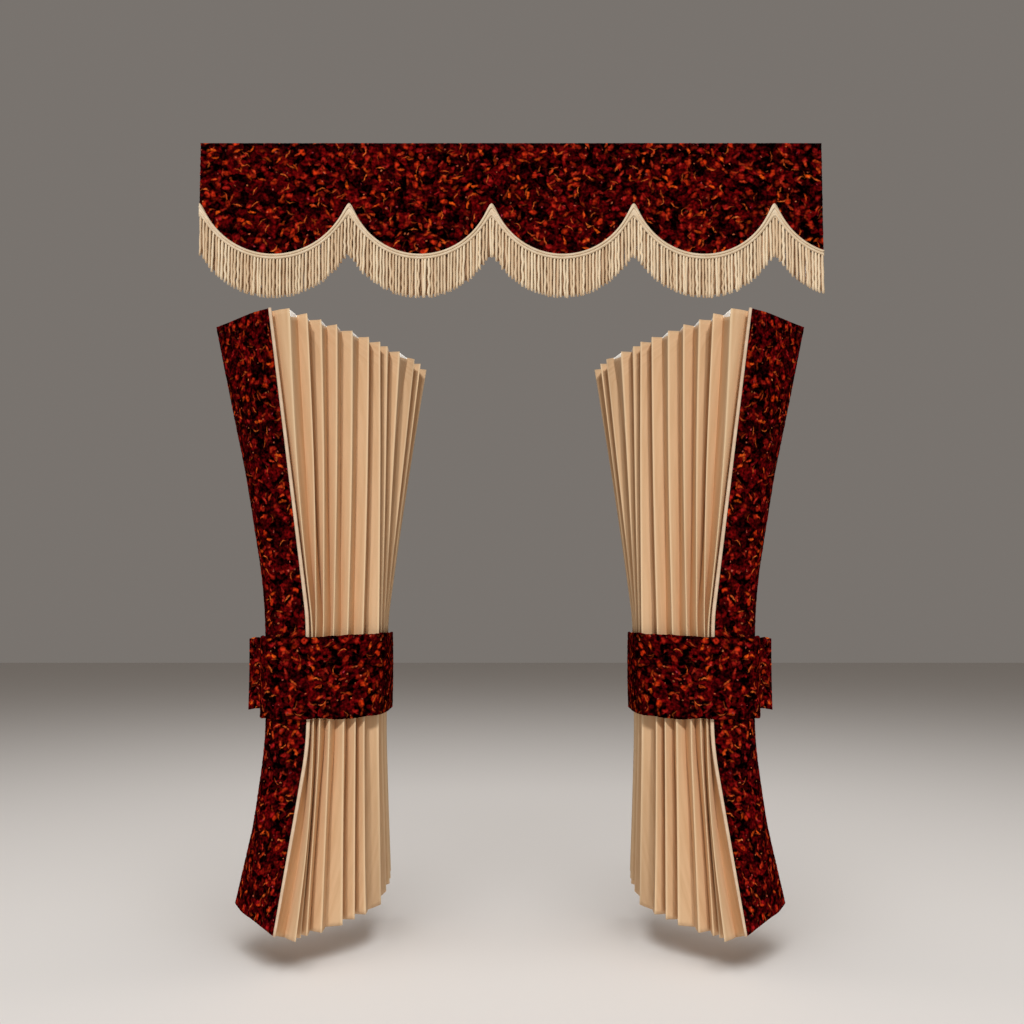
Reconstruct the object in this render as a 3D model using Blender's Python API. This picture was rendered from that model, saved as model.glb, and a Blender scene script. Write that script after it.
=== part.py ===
"""A truck cab curtain set: a fringed pelmet over two side curtains held back by bands.

Everything hangs, so the origin is the middle of the pelmet's top edge. X runs to the right,
Y to the back and Z up, in metres. The left curtain is modelled, and the right one mirrors it.

Each cloth is a sheet between sections. A section is the line that the cloth takes in plan at
one height, and the same fold lines run through all of them, from the heading to the hem.
"""

import math
from bisect import bisect_right
from collections import namedtuple

import bpy
from mathutils import Vector

MM = 0.001
GAP = 0.3 * MM

# Heights, below the pelmet's top edge.
CURTAIN_TOP = -0.272
BAND_TOP = -0.800
BAND_HEIGHT = 0.134
BAND_FOOT = BAND_TOP - BAND_HEIGHT

# Every fold line is the same length of cloth, so the hem rises where its way down is longer.
CLOTH_DROP = 1.010

# Cloth thicknesses, with the pile of the plush.
PLEAT_THICK = 1.0 * MM
PLUSH_THICK = 3.0 * MM
EDGING_THICK = 2.6 * MM
TAPE_THICK = 0.7 * MM
BAND_THICK = 4.2 * MM
BRAID_THICK = 2.6 * MM
FRINGE_THICK = 2.6 * MM

# One pleat is a face and a return, 50 mm of cloth, whose creases are pressed 2 mm wide.
PLEAT_CLOTH = 50 * MM
CREASE = 2 * MM
SHALLOWEST_PLEAT = 8 * MM

# How far along from one crest to the next the valley between them stands, and how softly
# a fold line bends at the band, as a share of its length above or below it.
LEAN_HEADING, LEAN_BAND, LEAN_HEM = 0.72, 0.50, 0.40
SOFT_BELOW = 0.25

EDGING_WIDTH = 6.5 * MM
TAPE_HEIGHT = 25 * MM
HEM_RISE = 7 * MM

# A fold line's place in plan, in mm, at the heading, the band's two edges and the hem. It
# bows sideways by bow halfway up, and soft is its bend at the band.
Line = namedtuple("Line", "heading band_top band_foot hem bow soft")

# The plush border, from its edging outwards. Its outer quarter is tucked round at the band.
PANEL = (
    Line((-391.5, 3), (-331.5, 43), (-328.5, 43), (-376.5, 29), 0, 0.10),
    Line((-421, 20), (-366, 45.5), (-363, 45.5), (-402, 53), 0, 0.15),
    Line((-449, 41.5), (-397, 58), (-394, 58), (-427, 77), 0, 0.20),
    Line((-476, 63), (-411.5, 87), (-409, 87), (-450, 104), -4, 0.25),
    Line((-503.5, 83.5), (-410, 118), (-406.5, 118), (-472, 136), -3, 0.30),
)

# The valley behind the edging, where the pleats begin.
FIRST_VALLEY = Line((-387, 16), (-331.5, 64), (-328, 65), (-373, 38), 0, 0.10)

# The crests, from the edging to the free edge.
CRESTS = (
    Line((-356, 4), (-321, 42), (-318.5, 42), (-335.5, 16), -6.5, 0.10),
    Line((-333, 25), (-315.5, 41), (-312, 41), (-333.5, 42), 5, 0.10),
    Line((-316, 50), (-302.5, 40.5), (-305, 40.5), (-325.5, 50), 3, 0.10),
    Line((-294, 72), (-286, 41.4), (-292, 41.5), (-305.5, 61), 3, 0.10),
    Line((-273, 102), (-264, 46), (-269.5, 45), (-277, 85), 2, 0.10),
    Line((-250, 131), (-241, 54), (-252, 51), (-260, 101), 2, 0.10),
    Line((-233.5, 154), (-219, 76), (-238.5, 57), (-244, 114), 1, 0.10),
    Line((-223.5, 179.5), (-217, 94), (-219, 82), (-225, 158), 1, 0.10),
    Line((-205.5, 205.5), (-216, 118), (-217, 110), (-224, 210), 0, 0.10),
    Line((-183, 248), (-217, 142), (-217.5, 138), (-222, 240), 0, 0.10),
    Line((-174.5, 274), (-218, 160), (-219, 158), (-224, 262), 1, 0.10),
    Line((-166.5, 309), (-219, 178), (-220.5, 177), (-227, 287), -3, 0.10),
)

# How far the heading tape stands above the cloth on each pleat's return, in mm, in order.
TAPE_RISES = (4, 4, 4.5, 1, 3, 0.5, 0.5, 0.5, 4, 1, 0.5)
TAPE_SINK = 1.5 * MM

# The heights at which sections are taken, as shares of the way from the band to the heading
# and from the band to the hem. The second one is the foot of the heading tape.
TAPE_FOOT = 1 - TAPE_HEIGHT / (CURTAIN_TOP - BAND_TOP)
ABOVE = (1.0, TAPE_FOOT, 0.6, 0.3, 0.12, 0.0)
BELOW = (0.0, 0.15, 0.35, 0.65, 1.0)

# The band's way round the curtain in plan, in mm, and how far it rides up there.
BandPoint = namedtuple("BandPoint", "x y rise")
BAND_PATH = (
    BandPoint(-494, 262, -4),
    BandPoint(-440, 240, -2),
    BandPoint(-380, 226, 0),
    BandPoint(-300, 218, 2),
    BandPoint(-238, 211, 4),
    BandPoint(-214.5, 186, 6),
    BandPoint(-212, 145, 6),
    BandPoint(-210, 104, 6),
    BandPoint(-213, 76, 5),
    BandPoint(-229, 56, 3),
    BandPoint(-256, 43.2, 1),
    BandPoint(-300, 37.2, 0),
    BandPoint(-345, 38, 0),
    BandPoint(-382, 45, 0),
    BandPoint(-406, 61, 0),
    BandPoint(-416, 92, 0),
    BandPoint(-413, 135, 0),
    BandPoint(-398, 180, 0),
    BandPoint(-362, 209, 0),
    BandPoint(-330, 213, 0),
)
BAND_STEPS = 3

# The pelmet and its scalloped edge. The last scallop is cut short by the pelmet's end.
PELMET_LEFT = -0.503
PELMET_WIDTH = 1.009
SCALLOP_WIDTHS = (0.243, 0.230, 0.230, 0.227, 0.230)
SCALLOP_TIP = -0.099
SCALLOP_DEPTH = 0.0855
SCALLOP_SHARES = (0, 0.015, 0.04, 0.09, 0.17, 0.27, 0.38, 0.5, 0.62, 0.73, 0.83, 0.91, 0.96, 0.985)
TIP_ROUND = 6.5 * MM
BRAID_WIDTH = 9.5 * MM
FRINGE_LENGTH = 62.5 * MM
STRAND_PITCH = 12.8 * MM
STRAND_WIDTH = 8.6 * MM
ROOT_COVER = 1.5 * MM

FINISHES = {
    "plush": ((0.16, 0.008, 0.004), 0.9),
    "pleated_cloth": ((0.61, 0.44, 0.27), 0.75),
    "edging": ((0.68, 0.55, 0.42), 0.7),
    "heading_tape": ((0.85, 0.84, 0.82), 0.8),
    "trimming": ((0.72, 0.60, 0.42), 0.8),
}


def clear_scene():
    for item in list(bpy.data.objects):
        bpy.data.objects.remove(item, do_unlink=True)


def finish(kind):
    """The Principled material of one of the finishes."""
    found = bpy.data.materials.get(kind)
    if found:
        return found
    colour, roughness = FINISHES[kind]
    made = bpy.data.materials.new(kind)
    made.use_nodes = True
    shader = made.node_tree.nodes["Principled BSDF"]
    shader.inputs["Base Color"].default_value = (*colour, 1)
    shader.inputs["Roughness"].default_value = roughness
    shader.inputs["Metallic"].default_value = 0
    return made


def add_object(name, points, faces, kind, mirrored=False):
    """A named object from a closed mesh, mirrored to the right curtain when asked."""
    if mirrored:
        points = [Vector((-p.x, p.y, p.z)) for p in points]
        faces = [tuple(reversed(face)) for face in faces]
    mesh = bpy.data.meshes.new(name)
    mesh.from_pydata(points, [], faces)
    mesh.materials.append(finish(kind))
    made = bpy.data.objects.new(name, mesh)
    bpy.context.scene.collection.objects.link(made)
    return made


# ---------------------------------------------------------------- sheets between sections


def shifted(section, distance):
    """A section moved square to itself in plan, to the back of the cloth when positive."""
    sides = []
    for a, b in zip(section, section[1:]):
        run = Vector((b.x - a.x, b.y - a.y)).normalized()
        sides.append(Vector((-run.y, run.x)))
    moved = []
    for i, point in enumerate(section):
        before = sides[max(i - 1, 0)]
        after = sides[min(i, len(sides) - 1)]
        mitre = (before + after) / (1 + before.dot(after))
        moved.append(point + Vector((mitre.x, mitre.y, 0)) * distance)
    return moved


def add_sheet(name, sections, thickness, kind, mirrored=False, behind=0.0):
    """A closed sheet through sections that run from the top down, each with as many points.

    Its front lies behind the sections by the distance given.
    """
    fronts = [shifted(s, behind) for s in sections]
    backs = [shifted(s, behind + thickness) for s in sections]
    rows, columns = len(sections), len(sections[0])
    points = [p for section in fronts + backs for p in section]
    back = rows * columns
    faces = []
    for i in range(rows - 1):
        for j in range(columns - 1):
            a = i * columns + j
            b = a + columns
            # The front and the back are cut along the same diagonal, so they stay parallel.
            for triangle in ((a, b, b + 1), (a, b + 1, a + 1)):
                faces.append(triangle)
                faces.append(tuple(k + back for k in reversed(triangle)))
    last = (rows - 1) * columns
    for j in range(columns - 1):
        faces.append((j, j + 1, back + j + 1, back + j))
        faces.append((last + j + 1, last + j, back + last + j, back + last + j + 1))
    for i in range(rows - 1):
        a, b = i * columns, (i + 1) * columns
        faces.append((a, back + a, back + b, b))
        a, b = a + columns - 1, b + columns - 1
        faces.append((a, b, back + b, back + a))
    return add_object(name, points, faces, kind, mirrored)


# ---------------------------------------------------------------- fold lines


def eased(share, soft):
    """Goes from 0 to 1 with share, and starts softly over the part called soft."""
    gone = share * share / (2 * soft) if share < soft else share - soft / 2
    return gone / (1 - soft / 2)


def plan(place):
    return Vector((place[0] * MM, place[1] * MM))


def fold_points(line, rise=0.0):
    """A fold line's points, one for each section, from the heading to the hem."""
    heading, band_top = plan(line.heading), plan(line.band_top)
    band_foot, hem = plan(line.band_foot), plan(line.hem)
    points = []
    for share in ABOVE:
        place = band_top.lerp(heading, eased(share, line.soft))
        bow = line.bow * MM * math.sin(math.pi * share)
        height = BAND_TOP + (CURTAIN_TOP - BAND_TOP) * share
        points.append(Vector((place.x + bow, place.y, height)))
    above = math.hypot((heading - band_top).length, CURTAIN_TOP - BAND_TOP)
    band = math.hypot((band_top - band_foot).length, BAND_HEIGHT)
    below = math.sqrt((CLOTH_DROP - above - band) ** 2 - (hem - band_foot).length_squared)
    for share in BELOW:
        place = band_foot.lerp(hem, eased(share, max(SOFT_BELOW, line.soft)))
        points.append(Vector((place.x, place.y, BAND_FOOT - (below - rise) * share)))
    return points


def lean_of(row):
    if row < len(ABOVE):
        return LEAN_BAND + (LEAN_HEADING - LEAN_BAND) * ABOVE[row]
    return LEAN_BAND + (LEAN_HEM - LEAN_BAND) * BELOW[row - len(ABOVE)]


def valley(crest, following, lean):
    """The valley between two crests.

    The cloth of a pleat is the same at every height, so its valley lies on the ellipse that
    has the two crests as its foci.
    """
    step = Vector((following.x - crest.x, following.y - crest.y))
    half = PLEAT_CLOTH / 2
    along = (lean - 0.5) * step.length
    deepest = math.sqrt(max(half**2 - step.length_squared / 4, SHALLOWEST_PLEAT**2))
    depth = deepest * math.sqrt(1 - (along / half) ** 2)
    inward = Vector((-step.y, step.x)).normalized()
    place = Vector((crest.x, crest.y)) + step * lean + inward * depth
    return Vector((place.x, place.y, (crest.z + following.z) / 2))


def creased(section):
    """Gives each inner fold of a section its pressed width, as two points in place of one."""
    widened = [section[0]]
    for before, fold, after in zip(section, section[1:], section[2:]):
        into = Vector((fold.x - before.x, fold.y - before.y)).normalized()
        out = Vector((after.x - fold.x, after.y - fold.y)).normalized()
        across = (into + out).normalized() * CREASE / 2
        across = Vector((across.x, across.y, 0))
        widened += [fold - across, fold + across]
    return widened + [section[-1]]


def panel_sections():
    """The front of the plush border, from its outer edge to its edging."""
    last = len(PANEL) - 1
    lines = [fold_points(line, HEM_RISE * i / last) for i, line in enumerate(PANEL)]
    return [list(section) for section in zip(*reversed(lines))]


def edging_sections():
    """The binding that covers the border's inner edge, a strip beyond the end of it."""
    sections = []
    for section in panel_sections():
        run = (section[-1] - section[-2]).normalized()
        run.z = 0
        start = section[-1] + run * GAP
        sections.append([start, start + run * EDGING_WIDTH])
    return sections


def pleat_sections():
    """The creased line of the pleats, from the first valley to the free edge."""
    first = fold_points(FIRST_VALLEY)
    crests = [fold_points(line) for line in CRESTS]
    sections = []
    for row, start in enumerate(first):
        here = [crest[row] for crest in crests]
        folds = [start, here[0]]
        for crest, following in zip(here, here[1:]):
            folds += [valley(crest, following, lean_of(row)), following]
        sections.append(folds)
    return sections


# ---------------------------------------------------------------- the side curtains


def add_border(side, mirrored):
    add_sheet(f"{side}_plush_border", panel_sections(), PLUSH_THICK, "plush", mirrored)
    add_sheet(f"{side}_edging", edging_sections(), EDGING_THICK, "edging", mirrored)


def cloth_sections():
    """The pleats, and the same cloth carried on flat behind the border as its backing."""
    sections = []
    for border, pleats in zip(panel_sections(), pleat_sections()):
        backing = shifted(border, PLUSH_THICK + GAP + PLEAT_THICK / 2)
        sections.append(backing[:-1] + creased(backing[-1:] + pleats))
    return sections


def add_pleated_cloth(side, mirrored):
    behind = -PLEAT_THICK / 2
    name = f"{side}_pleated_cloth"
    add_sheet(name, cloth_sections(), PLEAT_THICK, "pleated_cloth", mirrored, behind)


def add_heading_tape(side, mirrored):
    """The tape sewn behind the heading. It shows above the cloth on the returns."""
    first_face = len(PANEL) + 1
    heading, foot = [section[first_face:] for section in cloth_sections()[:2]]
    top = []
    for i, (point, lower) in enumerate(zip(heading, foot)):
        # The points come in fours: into a crest, out of it, into the next valley and out of
        # that. The middle two of each four bound a return.
        pleat, place = divmod(i - 1, 4)
        on_return = place in (1, 2) and pleat < len(TAPE_RISES)
        rise = TAPE_RISES[pleat] * MM if on_return else -TAPE_SINK
        top.append(point.lerp(lower, -rise / TAPE_HEIGHT))
    behind = PLEAT_THICK / 2 + 2 * GAP
    name = f"{side}_heading_tape"
    add_sheet(name, [top, foot], TAPE_THICK, "heading_tape", mirrored, behind)


def smooth_path(points, steps):
    """A curve through the points, with so many steps between one and the next."""
    curve = []
    for i in range(len(points) - 1):
        p0, p1 = points[max(i - 1, 0)], points[i]
        p2, p3 = points[i + 1], points[min(i + 2, len(points) - 1)]
        for k in range(steps):
            t = k / steps
            curve.append(
                p1 + (p2 - p0) * t / 2
                + (2 * p0 - 5 * p1 + 4 * p2 - p3) * t**2 / 2
                + (3 * p1 - p0 - 3 * p2 + p3) * t**3 / 2
            )
    return curve + [points[-1]]


def add_band(side, mirrored):
    """The tie band: round the curtain, closed behind over its own tucked end, tail free."""
    path = [Vector((p.x * MM, p.y * MM, BAND_TOP + p.rise * MM)) for p in BAND_PATH]
    top = smooth_path(path, BAND_STEPS)
    top.reverse()
    foot = [point - Vector((0, 0, BAND_HEIGHT)) for point in top]
    add_sheet(
        f"{side}_tie_band", [top, foot], BAND_THICK, "plush", mirrored, -BAND_THICK / 2
    )


def add_side_curtain(side, mirrored):
    add_border(side, mirrored)
    add_pleated_cloth(side, mirrored)
    add_heading_tape(side, mirrored)
    add_band(side, mirrored)


# ---------------------------------------------------------------- the pelmet


def scallop(x, outside=0.0):
    """The height of the scalloped edge at x, or of a line that lies outside it by so much."""
    left = PELMET_LEFT
    for width in SCALLOP_WIDTHS:
        if x <= left + width:
            break
        left += width
    half = width / 2
    from_tip = half - abs(x - left - half)
    sideways = half - math.hypot(from_tip, TIP_ROUND)
    reach = half - TIP_ROUND
    radius = (reach**2 + SCALLOP_DEPTH**2) / (2 * SCALLOP_DEPTH)
    centre = SCALLOP_TIP - SCALLOP_DEPTH + radius
    return centre - math.sqrt((radius + outside) ** 2 - sideways**2)


def pelmet_places():
    """Where the pelmet's pieces turn: at every tip, and closer together beside it."""
    right = PELMET_LEFT + PELMET_WIDTH
    places, left = [], PELMET_LEFT
    for width in SCALLOP_WIDTHS:
        places += [left + width * share for share in SCALLOP_SHARES]
        left += width
    return [x for x in places if x < right] + [right]


def trimmed(x, outside):
    """The scalloped edge again, as the pieces have it: straight from place to place."""
    places = pelmet_places()
    i = min(bisect_right(places, x), len(places) - 1)
    a, b = places[i - 1], places[i]
    share = (x - a) / (b - a)
    return scallop(a, outside) * (1 - share) + scallop(b, outside) * share


def seam_height(x):
    """The lower edge of the plush, under the middle of the braid."""
    return (trimmed(x, 0.0) + trimmed(x, BRAID_WIDTH)) / 2


def add_pelmet_panel():
    front = -PLUSH_THICK / 2
    top = [Vector((x, front, 0)) for x in pelmet_places()]
    foot = [Vector((x, front, seam_height(x))) for x in pelmet_places()]
    add_sheet("pelmet_panel", [top, foot], PLUSH_THICK, "plush")


def add_pelmet_braid():
    front = -PLUSH_THICK / 2 - GAP - BRAID_THICK
    top = [Vector((x, front, scallop(x))) for x in pelmet_places()]
    foot = [Vector((x, front, scallop(x, BRAID_WIDTH))) for x in pelmet_places()]
    add_sheet("pelmet_braid", [top, foot], BRAID_THICK, "trimming")


def add_pelmet_fringe():
    """One comb: a header under the braid, with a tooth for every second strand."""
    count = int(PELMET_WIDTH / STRAND_PITCH)
    start = PELMET_LEFT + (PELMET_WIDTH - (count - 1) * STRAND_PITCH) / 2
    half = STRAND_WIDTH / 2
    lower = []
    for i in range(count):
        middle = start + i * STRAND_PITCH
        sides = (middle - half, middle + half)
        tip = trimmed(middle, BRAID_WIDTH) - FRINGE_LENGTH
        roots = [trimmed(x, BRAID_WIDTH) + ROOT_COVER for x in sides]
        lower += [(sides[0], roots[0]), (sides[0], tip), (sides[1], tip), (sides[1], roots[1])]
    left, right = lower[0][0], lower[-1][0]
    between = [x for x in pelmet_places() if left < x < right]
    upper = [(x, seam_height(x) - 3 * GAP) for x in (left, *between, right)]
    # A tooth's outer corners are free at the two ends of the comb.
    outline = upper + lower[-2:0:-1]
    size = len(outline)
    points = [Vector((x, -FRINGE_THICK / 2, z)) for x, z in outline]
    points += [Vector((x, FRINGE_THICK / 2, z)) for x, z in outline]
    faces = [tuple(reversed(range(size))), tuple(range(size, 2 * size))]
    for i in range(size):
        j = (i + 1) % size
        faces.append((i, j, size + j, size + i))
    add_object("pelmet_fringe", points, faces, "trimming")


def main():
    clear_scene()
    add_pelmet_panel()
    add_pelmet_braid()
    add_pelmet_fringe()
    add_side_curtain("left", False)
    add_side_curtain("right", True)


main()
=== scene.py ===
# %% [markdown]
# # A truck cab curtain set
# The set has three hung parts: a fringed pelmet across the top, and two side curtains that
# mirror each other. Each side curtain is one wide cloth pressed into sharp pleats, with a
# plush border down its outer side, and a plush band ties it back at the waist.
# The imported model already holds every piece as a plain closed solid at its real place. This
# lesson keeps those places and gives each piece its fine shape and its finish.

# %% The frame
import math
from collections import namedtuple

import bpy
import numpy as np
from mathutils import Matrix, Vector, noise


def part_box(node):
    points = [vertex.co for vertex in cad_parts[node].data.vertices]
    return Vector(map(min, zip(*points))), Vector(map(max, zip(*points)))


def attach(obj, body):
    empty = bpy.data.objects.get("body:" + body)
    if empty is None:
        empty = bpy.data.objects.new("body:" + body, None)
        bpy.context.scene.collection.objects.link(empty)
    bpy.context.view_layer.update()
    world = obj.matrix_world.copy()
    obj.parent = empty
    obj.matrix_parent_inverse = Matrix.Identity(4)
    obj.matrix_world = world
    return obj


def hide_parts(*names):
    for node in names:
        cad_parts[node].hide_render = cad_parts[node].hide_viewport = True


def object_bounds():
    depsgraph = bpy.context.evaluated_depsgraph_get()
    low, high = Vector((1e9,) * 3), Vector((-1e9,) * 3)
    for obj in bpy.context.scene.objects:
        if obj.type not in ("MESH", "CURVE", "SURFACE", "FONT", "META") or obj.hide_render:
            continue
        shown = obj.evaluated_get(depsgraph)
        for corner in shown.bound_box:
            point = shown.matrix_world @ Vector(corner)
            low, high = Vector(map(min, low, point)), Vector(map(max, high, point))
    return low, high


MM = 0.001
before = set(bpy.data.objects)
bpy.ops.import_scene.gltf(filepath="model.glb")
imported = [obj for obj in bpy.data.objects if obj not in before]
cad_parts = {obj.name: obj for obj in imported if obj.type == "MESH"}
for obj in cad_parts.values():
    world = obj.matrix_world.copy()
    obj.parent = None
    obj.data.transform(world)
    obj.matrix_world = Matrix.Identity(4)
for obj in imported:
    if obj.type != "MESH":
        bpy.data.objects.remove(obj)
solid_box = [list(corner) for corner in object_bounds()]
print("the solids reach from", solid_box[0], "to", solid_box[1])

# %% [markdown]
# ## Heights
# A hung cloth is measured from its top down. The height of the headings is read from the
# solids. The band's own height and its place below the heading are measures of the cloth.

# %% Heights
BAND_HEIGHT = 134 * MM
HEADING_TO_BAND = 528 * MM
heading_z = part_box("left_pleated_cloth")[1].z
band_top_z = heading_z - HEADING_TO_BAND
band_foot_z = band_top_z - BAND_HEIGHT
print(f"heading {heading_z:.3f}, band {band_top_z:.3f} to {band_foot_z:.3f}")

# %% [markdown]
# ## The fold lines
# A pressed pleat is a straight line in the flat cloth. Once the curtain hangs, each line
# keeps its length and only changes its place: wide apart at the heading, gathered under the
# band, and free again at the hem. A cloth simulation could hang such a curtain too, but it
# softens the creases and chooses their places by itself. So the whole drape is written as one
# row for each line, with its place in plan, in millimetres, at four heights. The left curtain
# is described, and the right one is its mirror image.

# %% The table of fold lines
# Bow bends a line sideways above the band. Soft and swing say how gently it leaves the band
# upwards and downwards, as shares of its way.
Fold = namedtuple("Fold", "heading band_top band_foot hem bow soft swing", defaults=(0.10, 0.25))

# The plush border, from its edging outwards.
BORDER = (
    Fold((-391.5, 3), (-334, 43), (-331, 43), (-376.5, 29), 0),
    Fold((-421, 20), (-366, 45.5), (-363, 45.5), (-402, 53), 0, 0.15),
    Fold((-449, 41.5), (-397, 58), (-394, 58), (-427, 77), 0, 0.20),
    Fold((-476, 63), (-411.5, 87), (-409, 87), (-450, 104), -4, 0.25),
    Fold((-503.5, 83.5), (-410, 118), (-406.5, 118), (-472, 136), -3, 0.30, 0.30),
)
# The valley behind the edging, where the pleats begin.
FIRST_VALLEY = Fold((-387, 16), (-331.5, 64), (-329, 65), (-363, 52), 0, 0.10, 0.80)
# The crests of the pleats, from the edging to the free edge.
CRESTS = (
    Fold((-356, 4), (-322, 42), (-318, 42), (-335.5, 16), -6.5, 0.10, 0.80),
    Fold((-333, 25), (-316.5, 41), (-320, 50), (-334, 40), 4, 0.10, 0.80),
    Fold((-316, 50), (-304, 40.5), (-308, 40.5), (-325.5, 50), 2.5),
    Fold((-294, 72), (-287.5, 41.4), (-292.5, 41.5), (-305.5, 61), 2.5),
    Fold((-273, 102), (-265, 46), (-269.5, 45), (-277, 85), 2),
    Fold((-250, 131), (-241.5, 54), (-252, 51), (-260, 101), 2),
    Fold((-233.5, 154), (-219, 76), (-238.5, 57), (-244, 114), 1),
    Fold((-223.5, 179.5), (-217, 94), (-219, 82), (-225, 158), 1),
    Fold((-205.5, 205.5), (-216, 118), (-217, 110), (-224, 210), 0),
    Fold((-183, 248), (-217, 142), (-217.5, 138), (-222, 240), 0),
    Fold((-174.5, 274), (-218, 160), (-219, 158), (-224, 262), 1),
    Fold((-166.5, 309), (-219, 178), (-220.5, 177), (-227, 287), -3),
)
# The band presses the first two pleats flat, so the valleys behind them have a place of
# their own at the band's foot and at the hem.
PRESSED = (((-327.5, 64.5), (-346, 38.5)), ((-318, 64.5), (-346, 60)))
FOLD_LENGTH = 1.010
# How much shorter each of the border's lines is cut at its hem, and how much longer the
# cloth hangs at the first valley.
BORDER_RISES = (0, 8, 14, 13, 8)
VALLEY_DROP = 9 * MM
# A pleat's cloth from crest to crest, and the least depth that a pleat keeps.
PLEAT_CLOTH = 50 * MM
SHALLOWEST_PLEAT = 8 * MM
# How far along from one crest to the next the valley between them stands.
LEAN_HEADING, LEAN_BAND_TOP, LEAN_BAND_FOOT, LEAN_HEM = 0.72, 0.50, 0.34, 0.40
print(len(CRESTS), "pleats to a curtain, each of", PLEAT_CLOTH / MM, "mm of cloth")

# %% [markdown]
# ## Points along a fold line
# Each line is worked out at all heights at once, as a numpy array, which is much faster than
# a Python loop over the points of both curtains. A row is a height: a share of the way from
# the band up to the heading, or down to the hem.

# %% Fold lines as arrays
ROWS_ABOVE, ROWS_BAND, ROWS_BELOW = 66, 8, 44
share_above = np.linspace(1, 0, ROWS_ABOVE)
share_band = np.linspace(0, 1, ROWS_BAND + 2)[1:-1]
share_below = np.linspace(0, 1, ROWS_BELOW)
ROWS = ROWS_ABOVE + ROWS_BAND + ROWS_BELOW
lean = np.concatenate(
    [
        LEAN_BAND_TOP + (LEAN_HEADING - LEAN_BAND_TOP) * share_above,
        LEAN_BAND_TOP + (LEAN_BAND_FOOT - LEAN_BAND_TOP) * share_band,
        LEAN_BAND_FOOT + (LEAN_HEM - LEAN_BAND_FOOT) * share_below,
    ]
)


def eased(share, soft):
    """Goes from 0 to 1 with share, and starts softly over the part called soft."""
    gone = np.where(share < soft, share * share / (2 * soft), share - soft / 2)
    return gone / (1 - soft / 2)


def fold_line(line, rise=0.0):
    """The points of one fold line, a row for each height. Rise cuts it shorter at the hem."""
    heading, band_top, band_foot, hem = (np.array(place) * MM for place in line[:4])
    over = band_top + (heading - band_top) * eased(share_above, line.soft)[:, None]
    over[:, 0] += line.bow * MM * np.sin(np.pi * share_above)
    over_z = band_top_z + (heading_z - band_top_z) * share_above
    across = band_top + (band_foot - band_top) * share_band[:, None]
    across_z = band_top_z - BAND_HEIGHT * share_band
    length_above = math.hypot(*(heading - band_top), heading_z - band_top_z)
    length_band = math.hypot(*(band_top - band_foot), BAND_HEIGHT)
    left_over = FOLD_LENGTH - length_above - length_band
    drop = math.sqrt(left_over**2 - sum((hem - band_foot) ** 2)) - rise
    under = band_foot + (hem - band_foot) * eased(share_below, line.swing)[:, None]
    under_z = band_foot_z - drop * share_below
    plan = np.vstack([over, across, under])
    return np.column_stack([plan, np.concatenate([over_z, across_z, under_z])])


print("the first crest ends at", fold_line(CRESTS[0])[-1].round(3))

# %% [markdown]
# ## Valleys
# The cloth of a pleat is as long at the hem as at the heading. The way from one crest down to
# the valley and up to the next crest is therefore always the same, which puts the valley on
# an ellipse that has the two crests as its foci. That one rule makes the pleats deep where
# the crests crowd together and shallow where they spread.

# %% Valleys and small unevenness
CREST_DRIFT_X, CREST_DRIFT_Y = 0.5 * MM, 0.7 * MM
# The longest wave of a wander, in waves to a curtain, and the swing of the pressed valleys.
WANDER = 0.8
PRESSED_SWING = 0.8
chance = np.random.default_rng(11)


def unit(vectors):
    return vectors / np.maximum(np.linalg.norm(vectors, axis=-1, keepdims=True), 1e-9)


def gone_along(points):
    """How long a line of points is up to each of them."""
    steps = np.linalg.norm(np.diff(points, axis=0), axis=1)
    return np.concatenate([[0], np.cumsum(steps)])


def placed_at(wanted, gone, points):
    """New points on a line of points, where gone says how far along each old one is."""
    return np.column_stack([np.interp(wanted, gone, column) for column in points.T])


def drift(size):
    """A slow random wander down the rows, for cloth that is never quite straight."""
    down = np.linspace(0, 1, ROWS)
    total = np.zeros(ROWS)
    for k in (1, 2, 3):
        total += chance.normal() * np.sin(math.tau * (k * down * WANDER + chance.random())) / k
    return total * size


def valley(crest, following):
    """The valley between two crests, a row for each height."""
    step = (following - crest)[:, :2]
    length = np.linalg.norm(step, axis=1)
    half = PLEAT_CLOTH / 2
    along = (lean - 0.5) * length
    deepest = np.sqrt(np.maximum(half**2 - length**2 / 4, SHALLOWEST_PLEAT**2))
    depth = deepest * np.sqrt(1 - (along / half) ** 2)
    inward = unit(np.column_stack([-step[:, 1], step[:, 0]]))
    plan = crest[:, :2] + step * lean[:, None] + inward * depth[:, None]
    return np.column_stack([plan, (crest[:, 2] + following[:, 2]) / 2])


def pressed(line, foot, hem):
    """Moves a valley to a place of its own from the band down."""
    top = line[ROWS_ABOVE - 1, :2].copy()
    foot, hem = np.array(foot) * MM, np.array(hem) * MM
    line[ROWS_ABOVE:-ROWS_BELOW, :2] = top + (foot - top) * share_band[:, None]
    line[-ROWS_BELOW:, :2] = foot + (hem - foot) * eased(share_below, PRESSED_SWING)[:, None]


print("a pleat is at least", SHALLOWEST_PLEAT / MM, "mm deep")

# %% All folds of the pleated cloth
# The band holds the crests still. Away from it they wander more and more.
free = np.concatenate([share_above, np.zeros(ROWS_BAND), share_below])
crest_lines = [fold_line(line) for line in CRESTS]
for crest in crest_lines:
    crest[:, 0] += drift(CREST_DRIFT_X) * free
    crest[:, 1] += drift(CREST_DRIFT_Y) * free
pleat_folds = [fold_line(FIRST_VALLEY, -VALLEY_DROP), crest_lines[0]]
for crest, following in zip(crest_lines, crest_lines[1:]):
    pleat_folds += [valley(crest, following), following]
for i, (foot, hem) in enumerate(PRESSED):
    pressed(pleat_folds[2 + 2 * i], foot, hem)
print(len(pleat_folds), "folds from the first valley to the free edge")

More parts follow.
